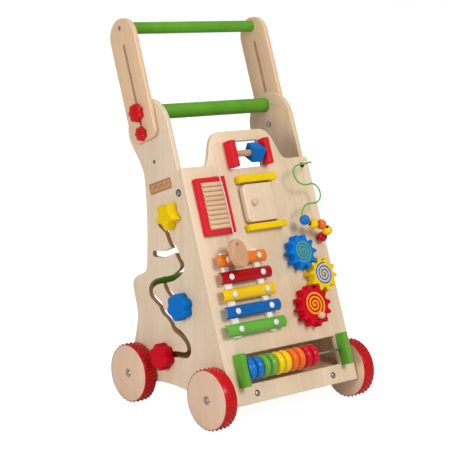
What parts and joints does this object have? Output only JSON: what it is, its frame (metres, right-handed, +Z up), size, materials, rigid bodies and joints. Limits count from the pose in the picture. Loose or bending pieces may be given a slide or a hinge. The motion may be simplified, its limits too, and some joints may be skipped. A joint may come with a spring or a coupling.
{
  "type": "baby walker",
  "caption": "Wooden push-along activity walker: slanted toy panel between two side panels on four wheels, with a height-adjustable handle.",
  "frame": {"origin": "on the floor, under the middle of the bounding box", "axes": "+Z up, -Y the front with the toy panel, +X to the right of somebody looking at the front"},
  "size_m": [0.3134, 0.3093, 0.6044],
  "materials": {
    "birch_ply": "clear varnished birch plywood with pale layered edges",
    "solid_beech": "clear varnished beech",
    "inner_ply": "plain birch plywood",
    "green_paint": "satin green paint",
    "red_paint": "satin red paint",
    "yellow_paint": "satin yellow paint",
    "blue_paint": "satin blue paint",
    "orange_paint": "satin orange paint",
    "white_wood": "white painted wood",
    "red_plastic": "glossy red plastic",
    "bar_orange": "gloss orange enamel",
    "bar_red": "gloss red enamel",
    "bar_yellow": "gloss yellow enamel",
    "bar_blue": "gloss blue enamel",
    "bar_green": "gloss green enamel",
    "green_wire": "green coated steel wire",
    "steel": "plain steel rod",
    "red_rubber": "matt red rubber with a ribbed tread",
    "string": "white twisted cord"
  },
  "bodies": {
    "chassis": {"left_side_panel": "birch_ply", "right_side_panel": "birch_ply", "play_panel": "birch_ply", "floor_board": "inner_ply", "fixed_bar": "green_paint", "lower_bar": "green_paint", "front_axle": "steel", "rear_axle": "steel", "washboard_frame": "red_paint", "washboard": "solid_beech", "door_upper_rail": "yellow_paint", "door_lower_rail": "yellow_paint", "bolt_left_block": "red_paint", "bolt_right_block": "red_paint", "bolt_screw": "solid_beech", "xylophone_left_rail": "white_wood", "xylophone_right_rail": "white_wood", "xylophone_bar_orange": "bar_orange", "xylophone_bar_red": "bar_red", "xylophone_bar_yellow": "bar_yellow", "xylophone_bar_blue": "bar_blue", "xylophone_bar_green": "bar_green", "bead_wire": "green_wire", "counter_rack": "green_paint"},
    "handle": {"left_arm": "birch_ply", "right_arm": "birch_ply", "handle_bar": "green_paint"},
    "left_upper_clamp": {"left_upper_clamp": "red_plastic"},
    "left_lower_clamp": {"left_lower_clamp": "red_plastic"},
    "right_upper_clamp": {"right_upper_clamp": "red_plastic"},
    "right_lower_clamp": {"right_lower_clamp": "red_plastic"},
    "front_left_wheel_set": {"front_left_wheel": "birch_ply", "front_left_tyre": "red_rubber"},
    "front_right_wheel_set": {"front_right_wheel": "birch_ply", "front_right_tyre": "red_rubber"},
    "rear_left_wheel_set": {"rear_left_wheel": "birch_ply", "rear_left_tyre": "red_rubber"},
    "rear_right_wheel_set": {"rear_right_wheel": "birch_ply", "rear_right_tyre": "red_rubber"},
    "beater": {"beater": "solid_beech", "beater_string": "string"},
    "door": {"door": "solid_beech"},
    "bolt_nut": {"bolt_nut": "blue_paint"},
    "gear_red": {"gear_red": "red_paint", "crank_peg": "solid_beech"},
    "gear_yellow": {"gear_yellow": "yellow_paint"},
    "gear_blue": {"gear_blue": "blue_paint"},
    "wire_bead_blue": {"wire_bead_blue": "blue_paint"},
    "wire_bead_yellow_upper": {"wire_bead_yellow_upper": "yellow_paint"},
    "wire_bead_orange": {"wire_bead_orange": "orange_paint"},
    "wire_bead_yellow_lower": {"wire_bead_yellow_lower": "yellow_paint"},
    "wire_bead_red": {"wire_bead_red": "red_paint"},
    "counter_beads_blue": {"counter_beads_blue": "blue_paint"},
    "counter_beads_green": {"counter_beads_green": "green_paint"},
    "counter_beads_yellow": {"counter_beads_yellow": "yellow_paint"},
    "counter_beads_orange": {"counter_beads_orange": "orange_paint"},
    "counter_beads_red": {"counter_beads_red": "red_paint"},
    "star": {"star": "yellow_paint"},
    "blue_flower": {"blue_flower": "blue_paint"},
    "red_flower": {"red_flower": "red_paint"}
  },
  "joints": [
    {"name": "handle_height", "type": "slide", "parent": "chassis", "child": "handle", "axis": [0, 0.3476, 0.9376], "range_m": [-0.098, 0.003]},
    {"name": "left_upper_clamp_turn", "type": "hinge", "parent": "chassis", "child": "left_upper_clamp", "pos_m": [-0.145, 0.0816, 0.4604], "axis": [1, 0, 0], "continuous": true},
    {"name": "left_lower_clamp_turn", "type": "hinge", "parent": "chassis", "child": "left_lower_clamp", "pos_m": [-0.145, 0.07003, 0.42918], "axis": [1, 0, 0], "continuous": true},
    {"name": "right_upper_clamp_turn", "type": "hinge", "parent": "chassis", "child": "right_upper_clamp", "pos_m": [0.145, 0.0816, 0.4604], "axis": [1, 0, 0], "continuous": true},
    {"name": "right_lower_clamp_turn", "type": "hinge", "parent": "chassis", "child": "right_lower_clamp", "pos_m": [0.145, 0.07003, 0.42918], "axis": [1, 0, 0], "continuous": true},
    {"name": "front_left_roll", "type": "hinge", "parent": "chassis", "child": "front_left_wheel_set", "pos_m": [-0.14515, -0.1076, 0.0472], "axis": [1, 0, 0], "continuous": true},
    {"name": "front_right_roll", "type": "hinge", "parent": "chassis", "child": "front_right_wheel_set", "pos_m": [0.14515, -0.1076, 0.0472], "axis": [1, 0, 0], "continuous": true},
    {"name": "rear_left_roll", "type": "hinge", "parent": "chassis", "child": "rear_left_wheel_set", "pos_m": [-0.14515, 0.0869, 0.0472], "axis": [1, 0, 0], "continuous": true},
    {"name": "rear_right_roll", "type": "hinge", "parent": "chassis", "child": "rear_right_wheel_set", "pos_m": [0.14515, 0.0869, 0.0472], "axis": [1, 0, 0], "continuous": true},
    {"name": "beater_swing", "type": "hinge", "parent": "chassis", "child": "beater", "pos_m": [-0.0702, -0.03168, 0.3671], "axis": [0, -0.9376, 0.3476], "range_deg": [-15, 20]},
    {"name": "door_swing", "type": "hinge", "parent": "chassis", "child": "door", "pos_m": [0.028, -0.04244, 0.3231], "axis": [0, 0.3476, 0.9376], "range_deg": [0, 100]},
    {"name": "nut_travel", "type": "slide", "parent": "chassis", "child": "bolt_nut", "axis": [1, 0, 0], "range_m": [-0.03, 0.006]},
    {"name": "gear_red_turn", "type": "hinge", "parent": "chassis", "child": "gear_red", "pos_m": [0.06068, -0.10636, 0.1606], "axis": [0, -0.9376, 0.3476], "continuous": true},
    {"name": "gear_yellow_turn", "type": "hinge", "parent": "chassis", "child": "gear_yellow", "pos_m": [0.0934, -0.09024, 0.20409], "axis": [0, -0.9376, 0.3476], "continuous": true},
    {"name": "gear_blue_turn", "type": "hinge", "parent": "chassis", "child": "gear_blue", "pos_m": [0.06128, -0.0762, 0.24195], "axis": [0, -0.9376, 0.3476], "continuous": true},
    {"name": "wire_bead_blue_spin", "type": "hinge", "parent": "chassis", "child": "wire_bead_blue", "pos_m": [0.0706, -0.07478, 0.29253], "axis": [0.6106, -0.2753, -0.7425], "continuous": true},
    {"name": "wire_bead_yellow_upper_spin", "type": "hinge", "parent": "chassis", "child": "wire_bead_yellow_upper", "pos_m": [0.0873, -0.07753, 0.28513], "axis": [0.9807, -0.0679, -0.1833], "continuous": true},
    {"name": "wire_bead_orange_spin", "type": "hinge", "parent": "chassis", "child": "wire_bead_orange", "pos_m": [0.1041, -0.07843, 0.28269], "axis": [0.913, -0.1361, -0.3845], "continuous": true},
    {"name": "wire_bead_yellow_lower_spin", "type": "hinge", "parent": "chassis", "child": "wire_bead_yellow_lower", "pos_m": [0.1159, -0.08024, 0.27205], "axis": [0.4409, 0.2851, -0.8511], "continuous": true},
    {"name": "wire_bead_red_spin", "type": "hinge", "parent": "chassis", "child": "wire_bead_red", "pos_m": [0.1162, -0.06868, 0.26009], "axis": [-0.0749, 0.8689, -0.4893], "continuous": true},
    {"name": "counter_blue_travel", "type": "slide", "parent": "chassis", "child": "counter_beads_blue", "axis": [1, 0, 0], "range_m": [0, 0.01188]},
    {"name": "counter_green_travel", "type": "slide", "parent": "chassis", "child": "counter_beads_green", "axis": [1, 0, 0], "range_m": [0, 0.02376]},
    {"name": "counter_yellow_travel", "type": "slide", "parent": "chassis", "child": "counter_beads_yellow", "axis": [1, 0, 0], "range_m": [0, 0.03564]},
    {"name": "counter_orange_travel", "type": "slide", "parent": "chassis", "child": "counter_beads_orange", "axis": [1, 0, 0], "range_m": [0, 0.04752]},
    {"name": "counter_red_travel", "type": "slide", "parent": "chassis", "child": "counter_beads_red", "axis": [1, 0, 0], "range_m": [0, 0.0594]},
    {"name": "star_travel", "type": "slide", "parent": "chassis", "child": "star", "axis": [0, 0.9635, -0.2679], "range_m": [0, 0.019]},
    {"name": "blue_flower_travel", "type": "slide", "parent": "chassis", "child": "blue_flower", "axis": [0, 0.9317, 0.3632], "range_m": [0, 0.025]},
    {"name": "red_flower_travel", "type": "slide", "parent": "chassis", "child": "red_flower", "axis": [0, -0.9546, 0.298], "range_m": [0, 0.02]}
  ],
  "couplings": [
    {"joint": "gear_yellow_turn", "follows": "gear_red_turn", "ratio": -1.2},
    {"joint": "gear_blue_turn", "follows": "gear_red_turn", "ratio": 1.2},
    {"joint": "counter_blue_travel", "follows": "counter_red_travel", "ratio": 0.2},
    {"joint": "counter_green_travel", "follows": "counter_red_travel", "ratio": 0.4},
    {"joint": "counter_yellow_travel", "follows": "counter_red_travel", "ratio": 0.6},
    {"joint": "counter_orange_travel", "follows": "counter_red_travel", "ratio": 0.8}
  ]
}
